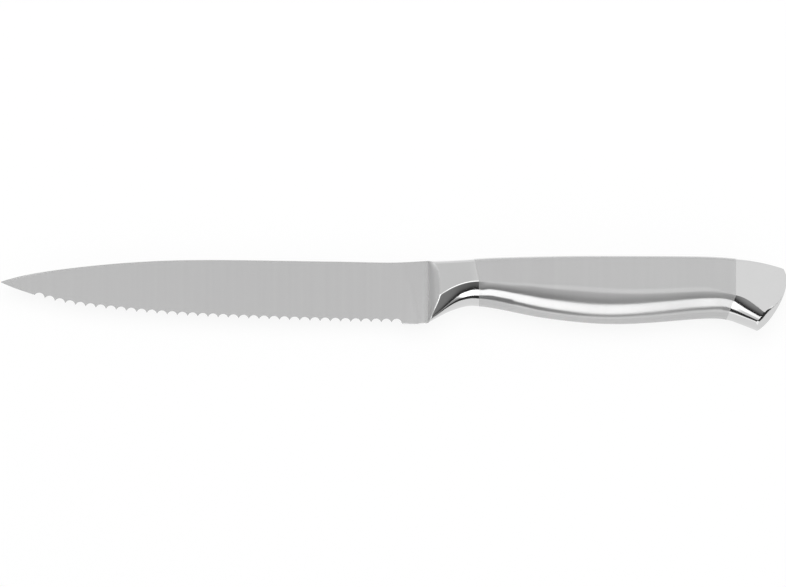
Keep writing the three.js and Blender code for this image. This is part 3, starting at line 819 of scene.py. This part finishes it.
def satin_grip(context):
    """Stainless steel, satin brushed round the grip: the same grey, a little smoother than the blade."""
    material, tree = blank("stainless_steel_satin_brushed")
    if tree:
        broad = streaks(tree, 2.2 * MM, 60 * MM)
        # A 320 grit belt leaves lines of about 0.05 mm. They are drawn 0.2 mm wide, so that they show.
        fine = streaks(tree, 0.2 * MM, 20 * MM, 2.0)
        colour = shade(tree, context.scene.knife_finishes.grip, 0.985, 1.01, broad)
        bump = node(tree, "ShaderNodeBump", {"Strength": 0.04, "Distance": 0.002 * MM, "Height": fine})
        # The polishing wheel runs over the grip's ends, so they are smoother than its middle
        spot = node(tree, "ShaderNodeTexCoord").outputs["Object"]
        along = node(tree, "ShaderNodeSeparateXYZ", {"Vector": spot}).outputs["X"]
        middle, half_length = (SHELL_LOW.x + SHELL_HIGH.x) / 2, (SHELL_HIGH.x - SHELL_LOW.x) / 2
        out = node(tree, "ShaderNodeMath", {0: along, 1: middle}, operation="SUBTRACT").outputs[0]
        out = node(tree, "ShaderNodeMath", {0: out}, operation="ABSOLUTE").outputs[0]
        even_share, middle_roughness, end_roughness = 0.3, 0.15, 0.08
        roughness = spread(tree, out, middle_roughness, end_roughness, half_length * even_share, half_length)
        # A hand's wear and the last pass of the belt leave more scratches towards the cap
        worn = [mix(SHELL_LOW.x, SHELL_HIGH.x, share) for share in (0.3, 0.75)]
        haze = spread(tree, along, 0.34, 0.55, *worn)
        metal(tree, colour, roughness, bump.outputs["Normal"], haze)
    return material


def polished_steel(context):
    """Stainless steel, mirror polished on a wheel: clear reflections, hardly softened by buffing haze."""
    material, tree = blank("stainless_steel_mirror_polished")
    if tree:
        spot = node(tree, "ShaderNodeTexCoord").outputs["Object"]
        # Buffing leaves soft patches of about 4 mm and a surface that waves over about 9 mm
        haze = node(tree, "ShaderNodeTexNoise", {"Vector": spot, "Scale": 1 / (4 * MM), "Detail": 3.0})
        wave = node(tree, "ShaderNodeTexNoise", {"Vector": spot, "Scale": 1 / (9 * MM), "Detail": 0.0})
        polish = context.scene.knife_finishes.polish
        colour = shade(tree, polish, 0.985, 1.0, haze.outputs["Fac"])
        bump = node(
            tree, "ShaderNodeBump",
            {"Strength": 0.1, "Distance": 0.02 * MM, "Height": wave.outputs["Fac"]},
        )
        # The wheel doesn't reach into the scooped front, which keeps the belt's scratches and is rougher
        facing = node(tree, "ShaderNodeTexCoord").outputs["Normal"]
        front = node(tree, "ShaderNodeSeparateXYZ", {"Vector": facing}).outputs["X"]
        fully_forward, hardly_forward = -0.8, -0.6
        scooped = spread(tree, front, 1, 0, fully_forward, hardly_forward)
        gloss = spread(tree, haze.outputs["Fac"], 0.05, 0.08)
        # The scooped front's colour is also painted 1.2 times lighter: painted light that brightens the shade
        # in the cove
        scratch_roughness, cove_painted_light_tone = 0.32, 1.2
        roughness = node(tree, "ShaderNodeMix", {0: scooped, 2: gloss, 3: scratch_roughness}).outputs[0]
        cove_painted_light = tuple(channel * cove_painted_light_tone for channel in polish) + (1,)
        colour = node(tree, "ShaderNodeMix", {0: scooped, 6: colour, 7: cove_painted_light}, data_type="RGBA").outputs[2]
        metal(tree, colour, roughness, bump.outputs["Normal"])
    return material


def drawn_steel(context):
    """Plain steel bar, drawn through a die: dull, with lines along the pin."""
    material, tree = blank("mild_steel_drawn_bar")
    if tree:
        lines = streaks(tree, 0.2 * MM, 10 * MM)
        colour = shade(tree, context.scene.knife_finishes.pin, 0.9, 1.05, lines)
        bump = node(tree, "ShaderNodeBump", {"Strength": 0.3, "Distance": 0.01 * MM, "Height": lines})
        metal(tree, colour, spread(tree, lines, 0.35, 0.5), bump.outputs["Normal"])
    return material


def cast_resin(context):
    """Epoxy resin with a mineral filler, cast in place: dull and slightly mottled."""
    material, tree = blank("epoxy_resin_cast")
    if tree:
        spot = node(tree, "ShaderNodeTexCoord").outputs["Object"]
        grain = node(tree, "ShaderNodeTexNoise", {"Vector": spot, "Scale": 1 / (0.8 * MM), "Detail": 4.0})
        colour = shade(tree, context.scene.knife_finishes.resin, 0.85, 1.1, grain.outputs["Fac"])
        bump = node(
            tree, "ShaderNodeBump",
            {"Strength": 0.3, "Distance": 0.05 * MM, "Height": grain.outputs["Fac"]},
        )
        shader = node(tree, "ShaderNodeBsdfPrincipled", {
            "Base Color": colour, "Roughness": 0.75, "IOR": 1.55, "Normal": bump.outputs["Normal"],
        })
        node(tree, "ShaderNodeOutputMaterial", {"Surface": shader.outputs["BSDF"]})
    return material


# Studio
def shown_rays(tree):
    """One for rays that show the background: to the camera, in reflections and through glass."""
    path = node(tree, "ShaderNodeLightPath")
    shown = path.outputs["Is Camera Ray"]
    for name in ("Is Glossy Ray", "Is Transmission Ray"):
        both = node(tree, "ShaderNodeMath", {0: shown, 1: path.outputs[name]}, operation="MAXIMUM")
        shown = both.outputs[0]
    return shown


def plane(context, name, corners, material):
    """A flat sheet of the studio between four corners."""
    bm = bmesh.new()
    surface(bm, 1, 1, lambda column, row: Vector(corners[2 * row + column]))
    made = placed(context, bm, name, material)
    return made


def card(context, name, leans, reaches, level, fade=None, near=None):
    """A card or a flag along the knife that only its metal sees, leaning from overhead to the edge's side.

    A fade is an axis, two places on it and the level at the second one. A card that stands near a place
    of the knife is given that place's Y and Z.
    """
    y, z = near or (0, 0)
    away = NEAR_DISTANCE if near else CARD_DISTANCE
    corners = []
    for lean in leans:
        angle = math.radians(lean)
        for x in reaches:
            corners.append((x, y - away * math.sin(angle), z + away * math.cos(angle)))
    material, tree = blank("studio_card_" + name)
    strength = level
    if fade:
        axis, start, end, to_level = fade
        spot = node(tree, "ShaderNodeTexCoord").outputs["Object"]
        place = node(tree, "ShaderNodeSeparateXYZ", {"Vector": spot}).outputs[axis]
        strength = spread(tree, place, level, to_level, start, end)
    light = node(tree, "ShaderNodeEmission", {"Strength": strength})
    node(tree, "ShaderNodeOutputMaterial", {"Surface": light.outputs["Emission"]})
    made = plane(context, name, corners, material)
    made.visible_camera = False
    made.visible_diffuse = False
    made.visible_transmission = False
    made.visible_shadow = False


class KNIFE_OT_studio(bpy.types.Operator):
    """Sets the floor, the soft light, the reflector cards and the camera"""

    bl_idname = "knife.studio"
    bl_label = "Studio"

    def execute(self, context):
        context.scene.view_settings.view_transform = "Standard"
        self.floor(context)
        self.light(context)
        self.camera(context)
        return {"FINISHED"}

    def floor(self, context):
        material, tree = blank("studio_floor_matt_paint")
        spot = node(tree, "ShaderNodeTexCoord").outputs["Object"]
        grain = node(tree, "ShaderNodeTexNoise", {"Vector": spot, "Scale": 1 / (3 * MM), "Detail": 2.0})
        colour = shade(tree, context.scene.knife_finishes.floor, 0.99, 1.0, grain.outputs["Fac"])
        paint = node(tree, "ShaderNodeBsdfDiffuse", {"Color": colour})
        white = node(tree, "ShaderNodeEmission", {"Strength": 1.0})
        # A share of the paint still shows, so that the floor keeps the knife's shadow
        white_share = 0.85
        share = node(tree, "ShaderNodeMath", {0: shown_rays(tree), 1: white_share}, operation="MULTIPLY")
        both = node(tree, "ShaderNodeMixShader", {
            0: share.outputs[0], 1: paint.outputs["BSDF"], 2: white.outputs["Emission"],
        })
        node(tree, "ShaderNodeOutputMaterial", {"Surface": both.outputs["Shader"]})
        wide, level = 4.0, -0.05 * MM
        corners = [(x, y, level) for y in (-wide, wide) for x in (-wide, wide)]
        plane(context, "studio_floor", corners, material)

    def light(self, context):
        world = bpy.data.worlds.new("studio_air")
        context.scene.world = world
        world.use_nodes = True
        tree = world.node_tree
        tree.nodes.clear()
        soft = node(tree, "ShaderNodeBackground", {"Color": (1, 1, 1, 1), "Strength": 0.7})
        white = node(tree, "ShaderNodeBackground", {"Color": (1, 1, 1, 1), "Strength": 1.0})
        both = node(tree, "ShaderNodeMixShader", {
            0: shown_rays(tree), 1: soft.outputs["Background"], 2: white.outputs["Background"],
        })
        node(tree, "ShaderNodeOutputWorld", {"Surface": both.outputs["Shader"]})

        lamp = bpy.data.lights.new("studio_softbox", "AREA")
        lamp.shape = "DISK"
        lamp.size = 1.2
        lamp.energy = 12
        softbox = bpy.data.objects.new("studio_softbox", lamp)
        softbox.location = (0.2, 0.5, 1.4)
        softbox.rotation_euler = (Vector((0, 0, 0)) - softbox.location).to_track_quat("-Z", "Y").to_euler()
        softbox.visible_camera = False
        softbox.visible_glossy = False
        context.collection.objects.link(softbox)

        # Seen in the metal from overhead round to the edge's side
        card(context, "overhead", (-40, 11), (-0.3, 1.2), 0.83, fade=("X", -0.02, 0.12, 1.04))
        card(context, "overhead_front", (-40, 22), (-3, -0.3), 0.83, fade=("X", -0.3, -1.5, 0.66))
        card(context, "light_rim", (22, 50), (-0.9, -0.33), 3.2)
        card(context, "light_upper", (14, 33), (-0.3, -0.06), 2.1)
        card(context, "soft_upper", (11, 33), (-0.06, 1.2), 0.86, fade=("X", 0.0, 0.08, 1.25))
        card(context, "light_crease", (12, 34), (0.0135, 0.0265), 2.0, near=(2.2 * MM, 15.6 * MM))
        card(context, "flag_upper", (33, 56), (-0.33, 1.2), 0.7, fade=("Z", 0.5, 0.37, 0.03))
        card(context, "light_lower", (56, 66), (-1.2, 0.04), 2.3, fade=("X", -0.05, -0.3, 1.15))
        card(context, "light_under", (66, 75), (-1.2, 0.04), 2.3, fade=("X", -0.02, -0.2, 0.85))
        card(context, "light_rear", (56, 75), (0.04, 0.14), 2.3, fade=("X", 0.04, 0.08, 2.6))
        card(context, "flag_nose", (56, 58), (0.14, 0.45), 0.05)
        card(context, "light_end", (58, 75), (0.14, 0.2), 2.6, fade=("X", 0.14, 0.2, 0.45))
        card(context, "flag_end", (58, 77.5), (0.2, 0.45), 0.45, fade=("X", 0.2, 0.4, 0.05))
        card(context, "flag_lower", (75, 85), (-1.2, 0.02), 0.04)
        card(context, "flag_rear", (77.5, 82.5), (0.02, 0.45), 0.04)
        card(context, "soft_end", (56, 85), (0.45, 1.2), 0.05, fade=("X", 0.45, 0.8, 0.9))
        card(context, "flag_bolster", (74, 91), (0.016, 0.034), 0.04, near=(-1.5 * MM, 13.5 * MM))
        card(context, "flag_butt", (48, 90), (0.106, 0.2), 0.04, near=(-7 * MM, 15 * MM))
        card(context, "light_low", (85, 90), (-1.2, 1.2), 1.35)

    def camera(self, context):
        away, view_width = 3.0, 240 * MM
        lens = bpy.data.cameras.new("camera")
        lens.lens = lens.sensor_width * away / view_width
        lens.clip_end = 20
        made = bpy.data.objects.new("camera", lens)
        made.location = (0, 0, SHELL_LOW.z + away)
        context.collection.objects.link(made)
        context.scene.camera = made


class KNIFE_PT_panel(bpy.types.Panel):
    """Lists the knife's pieces and their settings"""

    bl_idname = "KNIFE_PT_panel"
    bl_label = "Serrated Knife"
    bl_space_type = "VIEW_3D"
    bl_region_type = "UI"
    bl_category = "Knife"

    def draw(self, context):
        for operator in OPERATORS:
            self.layout.operator(operator.bl_idname)
        for name in SETTINGS:
            box = self.layout.box()
            group = getattr(context.scene, name)
            for setting in group.bl_rna.properties.keys():
                if setting not in ("rna_type", "name"):
                    box.prop(group, setting)


OPERATORS = (
    KNIFE_OT_blade, KNIFE_OT_bolster, KNIFE_OT_grip, KNIFE_OT_end_cap, KNIFE_OT_inside, KNIFE_OT_studio,
)
SETTINGS = {
    "knife_blade": KnifeBladeSizes,
    "knife_handle": KnifeHandleSizes,
    "knife_finishes": KnifeFinishes,
}
CLASSES = (*SETTINGS.values(), *OPERATORS, KNIFE_PT_panel)


def register():
    for made in CLASSES:
        bpy.utils.register_class(made)
    for name, group in SETTINGS.items():
        setattr(bpy.types.Scene, name, PointerProperty(type=group))


def unregister():
    for name in SETTINGS:
        delattr(bpy.types.Scene, name)
    for made in reversed(CLASSES):
        bpy.utils.unregister_class(made)


def main():
    register()
    bpy.ops.knife.blade()
    bpy.ops.knife.bolster()
    bpy.ops.knife.grip()
    bpy.ops.knife.end_cap()
    bpy.ops.knife.inside()
    bpy.ops.knife.studio()


if __name__ == "__main__":
    main()
